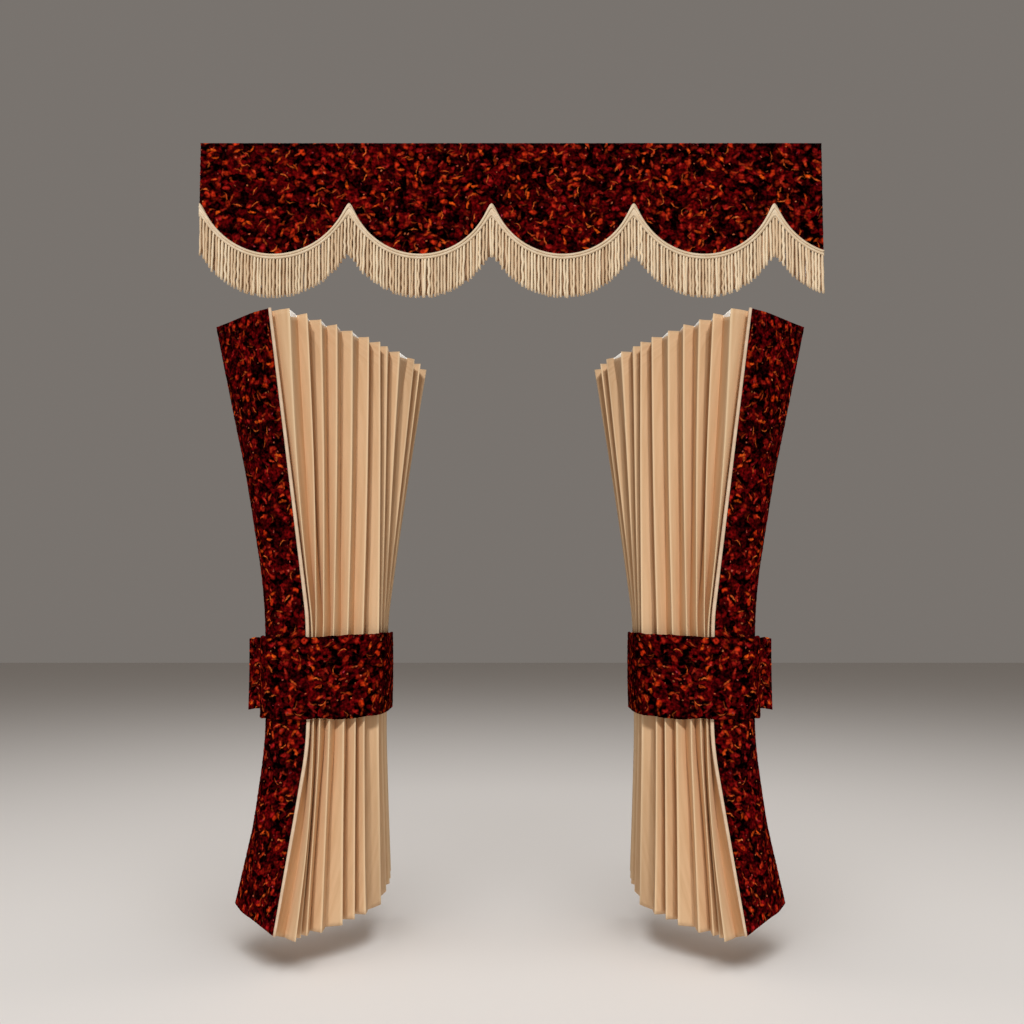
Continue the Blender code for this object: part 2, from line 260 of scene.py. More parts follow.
# %% [markdown]
# ## The border's curve
# The border is a flat strip that bends gently round the outer side. Its five lines are joined
# in plan by a Catmull-Rom curve, which passes through all of them without corners. The
# pleated cloth is carried on flat behind it.

# %% The border and its backing in plan
PLUSH_THICK = 3.0 * MM
PLEAT_THICK = 1.0 * MM
GAP = 0.3 * MM
BACKING_COLUMNS = 25


def smooth_between(lines, places):
    """Columns at the given places, where place 0 is the first line and 1 the next."""
    columns = []
    for place in places:
        i = min(int(place), len(lines) - 2)
        t = place - i
        p0, p1 = lines[max(i - 1, 0)], lines[i]
        p2, p3 = lines[i + 1], lines[min(i + 2, len(lines) - 1)]
        columns.append(
            p1
            + (p2 - p0) * t / 2
            + (2 * p0 - 5 * p1 + 4 * p2 - p3) * t**2 / 2
            + (3 * p1 - p0 - 3 * p2 + p3) * t**3 / 2
        )
    return np.stack(columns, axis=1)


def pushed_back(grid, distance):
    """A grid of rows and columns moved square to its rows in plan, backwards if positive."""
    run = np.gradient(grid[:, :, :2], axis=1)
    back = unit(np.stack([-run[:, :, 1], run[:, :, 0]], axis=2))
    moved = grid.copy()
    moved[:, :, :2] += back * distance
    return moved


border_lines = [fold_line(line, rise * MM) for line, rise in zip(BORDER, BORDER_RISES)]
border_lines.reverse()
last_line = len(border_lines) - 1
backing = smooth_between(border_lines, np.linspace(0, last_line, BACKING_COLUMNS))
backing = pushed_back(backing, PLUSH_THICK + GAP + PLEAT_THICK / 2)
print("the cloth runs on flat behind the border in", BACKING_COLUMNS, "columns")

# %% [markdown]
# ## The pleated cloth
# A pressed fold isn't a knife edge. Each one is rounded here over a millimetre or two with a
# short quadratic curve, so that the light runs along it as a thin bright line. The faces
# between the folds are pressed flat but never stay so: each is given a slow bow of its own.
# Each column also keeps whether it is a crest, 1, or a valley, -1, because a highlight is
# painted along the crests.

# %% Cloth as a grid of rows and columns
# How far a fold's rounding reaches, and the columns of a fold and the steps of a face.
FOLD_REACH = 0.9 * MM
FOLD_STEPS = 5
FACE_STEPS = 7
PER_FOLD = FOLD_STEPS + FACE_STEPS - 1
FACE_DRIFT, FACE_BOW = 0.5 * MM, 0.4 * MM


def rounded_fold(before, fold, after):
    """The columns that round a fold."""
    a = fold + unit(before - fold) * FOLD_REACH
    b = fold + unit(after - fold) * FOLD_REACH
    steps = np.linspace(0, 1, FOLD_STEPS)
    return [a * (1 - t) ** 2 + fold * 2 * t * (1 - t) + b * t**2 for t in steps]


def between(start, end, bow):
    """The columns of a face, without its first and last, bowed forwards by bow."""
    run = (end - start)[:, :2]
    front = unit(np.column_stack([run[:, 1], -run[:, 0]]))
    columns = []
    for t in np.linspace(0, 1, FACE_STEPS + 1)[1:-1]:
        column = start + (end - start) * t
        column[:, :2] += front * (bow * 4 * t * (1 - t))[:, None]
        columns.append(column)
    return columns


def pleated_grid():
    """The whole cloth, with what each column is: 1 for a crest, -1 for a valley, or 0."""
    columns = [backing[:, j] for j in range(BACKING_COLUMNS - 1)]
    folded = [0.0] * len(columns)
    chain = [backing[:, -2], backing[:, -1], *pleat_folds]
    previous = chain[0]
    for k in range(1, len(chain) - 1):
        corner = rounded_fold(chain[k - 1], chain[k], chain[k + 1])
        if k > 1:
            face = between(previous, corner[0], drift(FACE_DRIFT) + chance.normal() * FACE_BOW)
            columns += face
            folded += [0.0] * len(face)
        columns += corner
        folded += [1.0 if k % 2 == 1 and k > 2 else -1.0] * len(corner)
        previous = corner[-1]
    face = between(previous, chain[-1], drift(FACE_DRIFT))
    columns += face + [chain[-1]]
    folded += [0.0] * len(face) + [1.0]
    return np.stack(columns, axis=1), np.array(folded)


cloth_grid, cloth_folded = pleated_grid()
print("the pleated cloth has", cloth_grid.shape[0], "rows and", cloth_grid.shape[1], "columns")

# %% [markdown]
# ## The heading of the pleats
# Along the top the cloth is folded over a stiff tape. Where a pleat turns back, the cloth
# slips down a little from its crest and lets the white tape show. A small drop for each
# return gives that uneven line: it is steep beside the crest and dies out at the valley.

# %% Drops at the heading
# Each return's drop in millimetres, the share of its way over which the drop begins, how it
# dies out, and how many of the top rows make room for it.
RETURN_DROPS = (15, 11, 10, 6, 10, 3, 2, 2, 12, 6, 2)
DROP_ONSET = 1 / 6
DROP_FADE = 0.8
HEADING_ROWS = 7
FIRST_FACE = BACKING_COLUMNS - 1 + FOLD_STEPS + PER_FOLD
FIRST_CREST = FIRST_FACE + FACE_STEPS - 1 + FOLD_STEPS // 2


def return_share(column):
    """Which return a column is on, and how far along from its crest to its valley."""
    pleat, place = divmod(column - FIRST_CREST, 2 * PER_FOLD)
    along = place / PER_FOLD
    return (pleat, along) if 0 <= pleat < len(RETURN_DROPS) and along <= 1 else (None, 0)


def dropped(line, drop):
    """A column whose top end is cut lower, with its top rows spread over what is left."""
    heights = line[0, 2] - line[:, 2]
    span = heights[HEADING_ROWS - 1]
    moved = line.copy()
    wanted = drop + (span - drop) * heights[:HEADING_ROWS] / span
    moved[:HEADING_ROWS] = placed_at(wanted, heights, line)
    return moved


uncut_grid = cloth_grid.copy()
for j in range(cloth_grid.shape[1]):
    pleat, along = return_share(j)
    if pleat is not None:
        steep = min(1, along / DROP_ONSET) * (1 - along) ** DROP_FADE
        cloth_grid[:, j] = dropped(cloth_grid[:, j], RETURN_DROPS[pleat] * MM * steep)
print("the cloth drops up to", max(RETURN_DROPS), "mm on a return")

# %% [markdown]
# ## From grid to mesh
# Every sheet in the set is a grid, so one function makes them all. It also measures the cloth
# along its rows and down its columns and keeps that as a UV map in metres. Weave, pile and
# mottle then follow the cloth through its folds, as they do in a real one. Solidify turns a
# thin sheet into one with two sides and an edge.

# %% Meshes from grids
pieces = {}


def measured(grid):
    """The UV map of a grid, in metres of cloth along its rows and down its columns."""
    across = np.linalg.norm(np.diff(grid, axis=1), axis=2)
    down = np.linalg.norm(np.diff(grid, axis=0), axis=2)
    u = np.pad(np.cumsum(across, axis=1), ((0, 0), (1, 0)))
    v = -np.pad(np.cumsum(down, axis=0), ((1, 0), (0, 0)))
    return np.stack([u, v], axis=2)


def mirrored(grid, turned):
    """The grid itself, or its mirror image for the right curtain."""
    return grid * np.array([-1, 1, 1]) if turned else grid


def quads(rows, columns):
    """The faces of a grid, which look towards the front."""
    first = (np.arange(rows - 1)[:, None] * columns + np.arange(columns - 1)).ravel()
    return np.column_stack([first, first + columns, first + columns + 1, first + 1])


def new_object(name, points, faces):
    """A smooth object from lists of points and faces."""
    mesh = bpy.data.meshes.new(name)
    mesh.from_pydata(points, [], faces)
    mesh.shade_smooth()
    made = bpy.data.objects.new(name, mesh)
    bpy.context.scene.collection.objects.link(made)
    return made


def cloth_object(name, points, faces, uv, turned):
    """An object with a UV map that has a place for each point."""
    faces = faces[:, ::-1] if turned else faces
    made = new_object(name, points.reshape(-1, 3).tolist(), faces.tolist())
    layer = made.data.uv_layers.new(name="cloth")
    corners = np.empty(len(made.data.loops), np.int32)
    made.data.loops.foreach_get("vertex_index", corners)
    layer.data.foreach_set("uv", uv.reshape(-1, 2)[corners].astype(np.float32).ravel())
    return made


def open_sheet(name, grid, turned=False):
    """A grid as a surface without thickness, or its mirror image."""
    faces = quads(*grid.shape[:2])
    return cloth_object(name, mirrored(grid, turned), faces, measured(grid), turned)


def keep_only(piece):
    """Selects one object and nothing else."""
    bpy.ops.object.select_all(action="DESELECT")
    piece.select_set(True)
    bpy.context.view_layer.objects.active = piece


def thickened(piece, thickness):
    """Gives a surface its two sides and its edge."""
    keep_only(piece)
    solidify = piece.modifiers.new("thickness", "SOLIDIFY")
    solidify.thickness = thickness
    solidify.offset = 0
    bpy.ops.object.modifier_apply(modifier=solidify.name)
    return piece


def put_attribute(piece, name, values):
    """A number on each point, which a material can read by name."""
    layer = piece.data.attributes.new(name, "FLOAT", "POINT")
    layer.data.foreach_set("value", np.asarray(values, np.float32).ravel())


def on_both_sides(kind, make):
    """Makes a piece for the left curtain, and its mirror image for the right one."""
    for side in ("left", "right"):
        name = f"{side}_{kind}"
        pieces[name] = make(name, side == "right")
        print(name, "has", len(pieces[name].data.polygons), "faces")


# %% The two pleated cloths


def make_pleats(name, turned):
    made = open_sheet(name, cloth_grid, turned)
    put_attribute(made, "folded", np.broadcast_to(cloth_folded, cloth_grid.shape[:2]))
    return thickened(made, PLEAT_THICK)


on_both_sides("pleats", make_pleats)

# %% [markdown]
# ## Plush sheets
# Plush is a cloth with a pile, so it is thick and its edges are round and a little ragged.
# Solidify would leave those edges square, and real hairs would be far too many. Its sheet is
# therefore closed by hand: a front and a back that draw together along all four sides on a
# quarter circle. Noise at two sizes then lifts the pile in tufts, and pushes the tufts along
# an edge outwards. The back of the sheet is marked as lining, without a pile.

# %% The pile and its edges
# The grid's step, how far in from an edge it rounds, and how ragged an edge is.
PILE_STEP = 2.5 * MM
EDGE_ROUND = 1.8 * MM
EDGE_RAGGED, RAG_SIZE = 0.9 * MM, 2.4 * MM
# Each size of tuft: how wide it is and how high it lifts the pile.
TUFTS = ((7 * MM, 0.6 * MM), (3 * MM, 0.5 * MM))
# The share of its thickness that a sheet keeps at its very edge.
EDGE_LEAST = 0.06
edge_steps = np.array([0.0, 0.25, 0.6, 1.0]) * EDGE_ROUND


def edge_lengths(total):
    """Places along a side of a given length, closer together at its two ends."""
    count = max(2, round((total - 2 * EDGE_ROUND) / PILE_STEP))
    middle = np.linspace(EDGE_ROUND, total - EDGE_ROUND, count + 1)
    return np.concatenate([edge_steps[:-1], middle, (total - edge_steps[:-1])[::-1]])


def drawn_in(places):
    """How much of the thickness is left at each place, from 0 at an edge to 1."""
    from_edge = np.minimum(places, places[-1] - places)
    missing = np.clip(1 - from_edge / EDGE_ROUND, 0, 1)
    return np.sqrt(1 - missing**2)


def noise_over(uv, size, seed):
    """Smooth noise over a cloth, between about -1 and 1, with bumps of a given size."""
    places = [Vector((u / size, v / size, seed)) for u, v in uv.reshape(-1, 2)]
    return np.array([noise.noise(place) for place in places]).reshape(uv.shape[:2])


def ragged(grid, across_share, down_share, strength):
    """How far each edge point of a grid is pushed outwards, as a vector."""
    along_rows = unit(np.gradient(grid, axis=1))
    down_columns = unit(np.gradient(grid, axis=0))
    rows, columns = strength.shape
    sideways = (1 - across_share) * np.where(np.arange(columns) < columns / 2, -1, 1)
    downwards = (1 - down_share) * np.where(np.arange(rows) < rows / 2, -1, 1)
    push = along_rows * sideways[None, :, None] + down_columns * downwards[:, None, None]
    return push * strength[:, :, None]


print(f"plush pile is lifted by up to {sum(high for _, high in TUFTS) / MM:.1f} mm")

# %% A closed plush sheet


def rim_faces(rows, columns):
    """The faces that join the edge of a front grid to the edge of the back grid after it."""
    ring = np.concatenate(
        [
            np.arange(columns),
            np.arange(1, rows) * columns + columns - 1,
            (rows - 1) * columns + np.arange(columns - 2, -1, -1),
            np.arange(rows - 2, 0, -1) * columns,
        ]
    )
    following = np.roll(ring, -1)
    back = rows * columns
    return np.column_stack([ring, following, following + back, ring + back])


def plush_sheet(name, grid, uv, thickness, across, down, lined, turned=False):
    """A closed sheet behind a grid of front points, with tufts and round edges."""
    seed = 3.0 + 10 * len(pieces)
    across_share, down_share = drawn_in(across), drawn_in(down)
    full = np.minimum(across_share[None, :], down_share[:, None])
    lift = sum(noise_over(uv, size, seed + i) * high for i, (size, high) in enumerate(TUFTS))
    front = mirrored(grid, turned)
    rags = ragged(front, across_share, down_share, noise_over(uv, RAG_SIZE, seed + 2))
    half = thickness / 2
    middle = pushed_back(front, -half if turned else half)
    away = (front - middle) / half
    depth = half * np.maximum(full, EDGE_LEAST)
    outside = middle + away * (depth + lift * full)[:, :, None] + rags * EDGE_RAGGED
    inside = middle - away * depth[:, :, None] + rags * EDGE_RAGGED
    rows, columns = full.shape
    outer = quads(rows, columns)
    inner = outer[:, ::-1] + rows * columns
    faces = np.concatenate([outer, inner, rim_faces(rows, columns)])
    points = np.concatenate([outside, inside])
    made = cloth_object(name, points, faces, np.concatenate([uv, uv]), turned)
    put_attribute(made, "lining", np.repeat([0.0, float(lined)], rows * columns))
    return made


print("a plush sheet is", PLUSH_THICK / MM, "mm thick below its pile")

# %% [markdown]
# ## The borders
# The plush borders are sewn down the outer sides, where they cover the seam and the flat end
# of the cloth. Their columns follow the border's curve, and their rows are the fold lines' own
# heights, made closer together so that the tufts stay as fine down the sheet as across it.

# %% The two borders


def finer_rows(grid):
    """The same sheet with evenly spaced rows, closer at its top and foot, and their places."""
    gone = gone_along(grid[:, 0])
    wanted = edge_lengths(gone[-1])
    i = np.clip(np.searchsorted(gone, wanted) - 1, 0, len(gone) - 2)
    t = (wanted - gone[i]) / (gone[i + 1] - gone[i])
    return grid[i] * (1 - t)[:, None, None] + grid[i + 1] * t[:, None, None], wanted


heading_row = np.stack([line[0] for line in border_lines])
border_across = edge_lengths(gone_along(heading_row)[-1])
border_grid = smooth_between(border_lines, border_across / border_across[-1] * last_line)
border_grid, border_down = finer_rows(border_grid)


def make_border(name, turned):
    uv = measured(border_grid)
    return plush_sheet(
        name, border_grid, uv, PLUSH_THICK, border_across, border_down, True, turned
    )


on_both_sides("border", make_border)

# %% [markdown]
# ## The tie bands
# The band is a doubled strip of plush. It goes once round the gathered curtain, closes behind
# over its own tucked end, and its tail stands out at the outer side. Its way round is a smooth
# curve through a few points in plan, which is easier to direct than a simulated ring. Where
# it is drawn tight it lies in soft creases.

# %% The band's way round
BAND_THICK = 4.2 * MM
BandPoint = namedtuple("BandPoint", "x y rise")
BAND_WAY = (
    BandPoint(-494, 262, -4),
    BandPoint(-440, 240, -2),
    BandPoint(-380, 226, 0),
    BandPoint(-300, 218, 2),
    BandPoint(-238, 211, 4),
    BandPoint(-214.5, 186, 6),
    BandPoint(-212, 145, 6),
    BandPoint(-210, 104, 6),
    BandPoint(-213, 76, 5),
    BandPoint(-229, 56, 3),
    BandPoint(-256, 43.2, 1),
    BandPoint(-300, 37.2, 0),
    BandPoint(-345, 38, 0),
    BandPoint(-382, 45, 0),
    BandPoint(-406, 61, 0),
    BandPoint(-416, 92, 0),
    BandPoint(-413, 135, 0),
    BandPoint(-398, 180, 0),
    BandPoint(-362, 209, 0),
    BandPoint(-330, 213, 0),
)
WAY_STEPS = 1200


def band_grid():
    """The front of the band: columns along its way round, rows down its height."""
    lines = [np.array([[p.x * MM, p.y * MM, band_top_z + p.rise * MM]]) for p in BAND_WAY]
    dense = smooth_between(lines, np.linspace(0, len(lines) - 1, WAY_STEPS))[0][::-1]
    gone = gone_along(dense)
    along, down = edge_lengths(gone[-1]), edge_lengths(BAND_HEIGHT)
    top = placed_at(along, gone, dense)
    grid = np.repeat(top[None, :, :], len(down), axis=0)
    grid[:, :, 2] -= down[:, None]
    return pushed_back(grid, -BAND_THICK / 2), along, down


band_front, band_along, band_down = band_grid()
print(f"a band's way round is {band_along[-1]:.3f} m long")

# %% Creases, and the two tie bands
# A crease's place along the band from the tucked end, and its slant, width and height.
Crease = namedtuple("Crease", "place slant width height")
BAND_CREASES = (
    Crease(0.215, 0.050, 0.014, 1.8 * MM),
    Crease(0.262, -0.045, 0.010, 1.3 * MM),
    Crease(0.300, -0.060, 0.012, 2.2 * MM),
    Crease(0.338, 0.070, 0.010, 1.8 * MM),
    Crease(0.376, 0.035, 0.009, 1.5 * MM),
    Crease(0.405, -0.040, 0.010, 1.9 * MM),
    Crease(0.445, 0.030, 0.014, 2.4 * MM),
    Crease(0.560, -0.030, 0.020, 1.8 * MM),
    Crease(0.640, 0.040, 0.018, 1.8 * MM),
    Crease(0.730, -0.030, 0.015, 1.5 * MM),
)
# How far the middle of the band stands out between its two edges.
BELLY = 1.0 * MM
# The waves of the top edge and of the foot: how long they are, and how far they swing.
TOP_WAVE, FOOT_WAVE, EDGE_SWING = 22 * MM, 26 * MM, 2.4 * MM
# Places the band's UV map far from the borders', so that its mottle is another stretch.
BAND_MOTTLE = 5


def edge_wave(along, size, seed):
    return np.array([noise.noise(Vector((place / size, seed, 0))) for place in along])


def soft_creases(grid, along, down):
    """Long slanting creases, pressed outwards only, and edges that wave a little."""
    share = down / down[-1]
    lift = np.zeros((len(down), len(along)))
    for crease in BAND_CREASES:
        centre = crease.place + crease.slant * (share - 0.5)
        off = (along[None, :] - centre[:, None]) / crease.width
        lift += crease.height * np.exp(-(off**2))
    belly = np.sin(np.pi * share)[:, None]
    out = grid - pushed_back(grid, 1.0)
    creased = grid + out * (lift * (belly * 0.5 + 0.5) + belly * BELLY)[:, :, None]
    top, foot = edge_wave(along, TOP_WAVE, 1.5), edge_wave(along, FOOT_WAVE, 7.5)
    wave = top[None, :] * (1 - share[:, None]) + foot[None, :] * share[:, None]
    creased[:, :, 2] += wave * EDGE_SWING
    return creased


band_front = soft_creases(band_front, band_along, band_down)


def make_band(name, turned):
    uv = measured(band_front) + BAND_MOTTLE
    return plush_sheet(name, band_front, uv, BAND_THICK, band_along, band_down, False, turned)


on_both_sides("band", make_band)

# %% [markdown]
# ## The edging
# A narrow strip hides the seam between the plush and the pleats. It is folded round a cord,
# so its face is slightly domed. A curve with a bevel could make it, but a profile that is
# swept down the border's own edge keeps the same narrow gap all the way.

# %% The two edgings
EDGING_WIDTH = 6.5 * MM
EDGING_THICK = 2.6 * MM
# The dome takes this share of the thickness. A power below 1 makes it flatter than a sine.
DOME, DOME_POWER = 0.75, 0.45
PROFILE_STEPS = 9
MERGE = 0.01 * MM


def edging_grid():
    """A closed profile at each row: along the dome, then back along the flat behind it."""
    inner, nearly = border_lines[-1], border_lines[-2]
    run = unit((inner - nearly)[:, :2])
    front = np.column_stack([run[:, 1], -run[:, 0]])
    profile = []
    for t in np.linspace(0, 1, PROFILE_STEPS):
        profile.append((t, EDGING_THICK * (math.sin(math.pi * t) ** DOME_POWER - 1) * DOME))
    profile += [(t, -EDGING_THICK) for t in np.linspace(1, 0, PROFILE_STEPS)[1:-1]]
    columns = []
    for t, height in profile:
        column = inner.copy()
        column[:, :2] += run * (GAP + EDGING_WIDTH * t) + front * height
        columns.append(column)
    return np.stack(columns, axis=1)


def swept(name, grid, turned):
    """A closed tube through the rows of a grid, with flat ends."""
    made = open_sheet(name, np.concatenate([grid, grid[:, :1]], axis=1), turned)
    keep_only(made)
    bpy.ops.object.mode_set(mode="EDIT")
    bpy.ops.mesh.select_all(action="SELECT")
    bpy.ops.mesh.remove_doubles(threshold=MERGE)
    bpy.ops.mesh.select_all(action="DESELECT")
    bpy.ops.mesh.select_non_manifold()
    bpy.ops.mesh.edge_face_add()
    bpy.ops.object.mode_set(mode="OBJECT")
    return made


on_both_sides("edging_strip", lambda name, turned: swept(name, edging_grid(), turned))

# %% [markdown]
# ## The heading tape
# Behind the heading runs a white woven tape, which the hooks would hold. It follows the
# pleats, hides below the cloth on their faces, and shows on the returns. It is cut from the
# same grid as the cloth, so that it never comes through it.

# %% The two heading tapes
TAPE_HEIGHT = 25 * MM
TAPE_THICK = 0.7 * MM
TAPE_ROWS = 10
# How far the tape's top lies below the cloth's uncut top, on a face and on a return, and the
# share of a return over which it sinks.
TAPE_SINK = 1.5 * MM
TAPE_DROP = 2.0 * MM
TAPE_ONSET = 1 / 4


def tape_grid():
    """The tape behind the pleats, cut from the same folds as the cloth."""
    behind = pushed_back(uncut_grid[:, FIRST_FACE:], PLEAT_THICK / 2 + 2 * GAP)
    columns = []
    for j in range(behind.shape[1]):
        pleat, along = return_share(j + FIRST_FACE)
        sink = TAPE_SINK
        if pleat is not None:
            sink = TAPE_DROP * min(1, along / TAPE_ONSET) * (1 - along)
        line = behind[:, j]
        heights = line[0, 2] - line[:, 2]
        wanted = np.linspace(sink, TAPE_HEIGHT, TAPE_ROWS)
        columns.append(placed_at(wanted, heights, line))
    return np.stack(columns, axis=1)


def make_tape(name, turned):
    return thickened(open_sheet(name, tape_grid(), turned), TAPE_THICK)


on_both_sides("tape", make_tape)

# %% [markdown]
# ## The pelmet's scalloped edge
# The lower edge is a row of shallow arcs that meet in narrow tips. One formula gives its
# height at any place, and the height of a line that runs outside it by some distance, which
# is how the braid and the fringe keep their width round the tips.

# %% The scalloped edge
pelmet_low, pelmet_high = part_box("pelmet_panel")
pelmet_left, pelmet_right, pelmet_front = pelmet_low.x, pelmet_high.x, pelmet_low.y
pelmet_width = pelmet_right - pelmet_left
# The scallops' widths in millimetres. The last one is cut off at the pelmet's side.
SCALLOP_WIDTHS = (243, 230, 230, 227, 230)
SCALLOP_TIP = -99 * MM
SCALLOP_DEPTH = 85.5 * MM
TIP_ROUND = 6.5 * MM
PATH_STEPS = 4000
pelmet_drop = SCALLOP_DEPTH - SCALLOP_TIP


def scallop(x, outside=0.0):
    """The height of the scalloped edge at x, or of a line outside it."""
    left = pelmet_left
    for width in SCALLOP_WIDTHS:
        if x <= left + width * MM:
            break
        left += width * MM
    half = width * MM / 2
    from_tip = half - abs(x - left - half)
    sideways = half - math.hypot(from_tip, TIP_ROUND)
    reach = half - TIP_ROUND
    radius = (reach**2 + SCALLOP_DEPTH**2) / (2 * SCALLOP_DEPTH)
    centre = SCALLOP_TIP - SCALLOP_DEPTH + radius
    return centre - math.sqrt((radius + outside) ** 2 - sideways**2)


def scalloped_path(outside, step):
    """Evenly spaced places along the edge, or along a line outside it."""
    xs = np.linspace(pelmet_left, pelmet_right, PATH_STEPS)
    path = np.column_stack([xs, [scallop(x, outside) for x in xs]])
    gone = gone_along(path)
    return placed_at(np.linspace(0, gone[-1], round(gone[-1] / step) + 1), gone, path)


print("the scalloped edge is", round(len(scalloped_path(0, MM)) * MM, 3), "m long")

# %% [markdown]
# ## The pelmet cloth
# The pelmet is a flat valance of the same plush, which hides the rail. A flat cut-out would
# do for its outline, but a grid gives it a pile and round edges. Each column runs from the top
# edge down to the seam under the braid, with its rows at the same shares of the way.

# %% The pelmet cloth
BRAID_WIDTH = 9.5 * MM
PELMET_MOTTLE = 9


def pelmet_grid():
    """The pelmet's front, and its places across and down."""
    across = edge_lengths(pelmet_width)
    down = edge_lengths(pelmet_drop)
    grid = np.zeros((len(down), len(across), 3))
    grid[:, :, 0] = pelmet_left + across
    grid[:, :, 1] = pelmet_front
    seam = [(scallop(x) + scallop(x, BRAID_WIDTH)) / 2 for x in grid[0, :, 0]]
    grid[:, :, 2] = down[:, None] / pelmet_drop * seam
    return grid, across, down


grid, across, down = pelmet_grid()
pelmet_uv = grid[:, :, [0, 2]] + PELMET_MOTTLE
pelmet_cloth = plush_sheet("pelmet_cloth", grid, pelmet_uv, PLUSH_THICK, across, down, True)
print("the pelmet cloth has", len(pelmet_cloth.data.polygons), "faces")

# %% [markdown]
# ## The braid
# Gimp braid is plaited: each row shows as a line of short slanting strokes, and two rows that
# slant against each other look like a flattened plait. As a bump on a flat strip it would lose
# its knotty edge. So one stroke is modelled from a sphere, squeezed in edit mode, and copied
# along both rows. A thin tape under them closes the gaps.

# %% One stroke of the braid
STROKE_LENGTH, STROKE_DEPTH, STROKE_WIDTH = 5.6 * MM, 1.9 * MM, 2.5 * MM


def taken_apart(made):
    """The points and faces of a modelled shape, which is then removed.

    Modelling can leave the faces in another order each time, so they are sorted.
    """
    points = np.array([vertex.co for vertex in made.data.vertices])
    faces = sorted(tuple(polygon.vertices) for polygon in made.data.polygons)
    bpy.data.objects.remove(made, do_unlink=True)
    return points, faces


def model_stroke():
    bpy.ops.object.select_all(action="DESELECT")
    bpy.ops.mesh.primitive_uv_sphere_add(segments=8, ring_count=5, radius=0.5)
    bpy.ops.object.mode_set(mode="EDIT")
    bpy.ops.mesh.select_all(action="SELECT")
    bpy.ops.transform.rotate(value=math.pi / 2, orient_axis="Y", center_override=(0, 0, 0))
    bpy.ops.transform.resize(value=(STROKE_LENGTH, STROKE_DEPTH, STROKE_WIDTH))
    bpy.ops.object.mode_set(mode="OBJECT")
    return taken_apart(bpy.context.object)


stroke_points, stroke_faces = model_stroke()
print("a stroke of the braid has", len(stroke_faces), "faces")

# %% The braid's two rows
STROKE_PITCH = 2.2 * MM
STROKE_SLANT = math.radians(38)
# How far outside the cloth's edge each row of strokes runs, and which way it slants.
BRAID_ROWS = ((2.6 * MM, STROKE_SLANT), (7.0 * MM, -STROKE_SLANT))
STROKE_PROUD = 1.35 * MM
braid_front = pelmet_front - GAP


def joined(name, parts):
    """One object from many small shapes, each given as its points and its faces."""
    faces = []
    first = 0
    for points, own_faces in parts:
        faces += [tuple(first + i for i in face) for face in own_faces]
        first += len(points)
    made = new_object(name, np.concatenate([points for points, _ in parts]).tolist(), faces)
    print(name, "has", len(parts), "parts and", len(faces), "faces")
    return made


strokes = []
for outside, slant in BRAID_ROWS:
    path = scalloped_path(outside, STROKE_PITCH)
    headings = np.arctan2(*np.gradient(path, axis=0).T[::-1])
    for (x, z), heading in zip(path[1:-1], headings[1:-1]):
        turn = np.array(Matrix.Rotation(-(heading + slant), 3, "Y"))
        placed = stroke_points @ turn.T + (x, braid_front - STROKE_PROUD, z)
        strokes.append((placed, stroke_faces))
braid = joined("pelmet_braid_strokes", strokes)

# %% The tape under the braid
BRAID_TAPE_THICK = 0.7 * MM
BRAID_TAPE_PROUD = 0.4 * MM
BRAID_TAPE_LINES = (0.6 * MM, 4.8 * MM, 9.0 * MM)
BRAID_TAPE_STEP = 3 * MM


def braid_tape_grid():
    xs = scalloped_path(BRAID_TAPE_LINES[0], BRAID_TAPE_STEP)[:, 0]
    y = braid_front - BRAID_TAPE_PROUD
    return np.array([[[x, y, scallop(x, outside)] for x in xs] for outside in BRAID_TAPE_LINES])


braid_tape = thickened(open_sheet("pelmet_braid_tape", braid_tape_grid()), BRAID_TAPE_THICK)
print("the tape under the braid has", len(braid_tape.data.polygons), "faces")

# %% [markdown]
# ## The fringe
# Each strand is two yarns twisted round each other, so it is oval in section and swells and
# thins as the oval turns. A bevelled curve would stay round, without that twist, so one strand
# is modelled from a cylinder: its long edges are cut into rows, it is flattened, and a Simple
# Deform modifier twists it. The copies hang in two layers, because a fringe is looped through
# its heading, and the gaps of the front layer show the shaded back one. Each copy gets its own
# turn, sway and length.

# %% One strand
STRAND_PITCH = 5.2 * MM
STRAND_WIDTH, STRAND_DEPTH = 4.7 * MM, 3.9 * MM
STRAND_TURNS = 0.8


def model_strand(sides, rows):
    """A twisted strand of unit length, hanging down from the origin."""
    bpy.ops.object.select_all(action="DESELECT")
    bpy.ops.mesh.primitive_cylinder_add(vertices=sides, radius=0.5, depth=1, location=(0, 0, -0.5))
    made = bpy.context.object
    bpy.ops.object.transform_apply(location=True)
    bpy.ops.object.mode_set(mode="EDIT")
    bpy.ops.mesh.select_mode(type="EDGE")
    bpy.ops.mesh.select_all(action="DESELECT")
    bpy.ops.object.mode_set(mode="OBJECT")
    for edge in made.data.edges:
        top, foot = [made.data.vertices[i].co.z for i in edge.vertices]
        edge.select = abs(top - foot) > 0.5
    bpy.ops.object.mode_set(mode="EDIT")
    bpy.ops.mesh.subdivide(number_cuts=rows - 1)
    bpy.ops.mesh.select_all(action="SELECT")
    bpy.ops.transform.resize(value=(STRAND_WIDTH, STRAND_DEPTH, 1), center_override=(0, 0, 0))
    bpy.ops.object.mode_set(mode="OBJECT")
    twist = made.modifiers.new("twist", "SIMPLE_DEFORM")
    twist.deform_method = "TWIST"
    twist.deform_axis = "Z"
    twist.angle = math.tau * STRAND_TURNS
    bpy.ops.object.modifier_apply(modifier=twist.name)
    points, faces = taken_apart(made)
    print("a strand of", sides, "sides has", len(faces), "faces")
    return points, faces


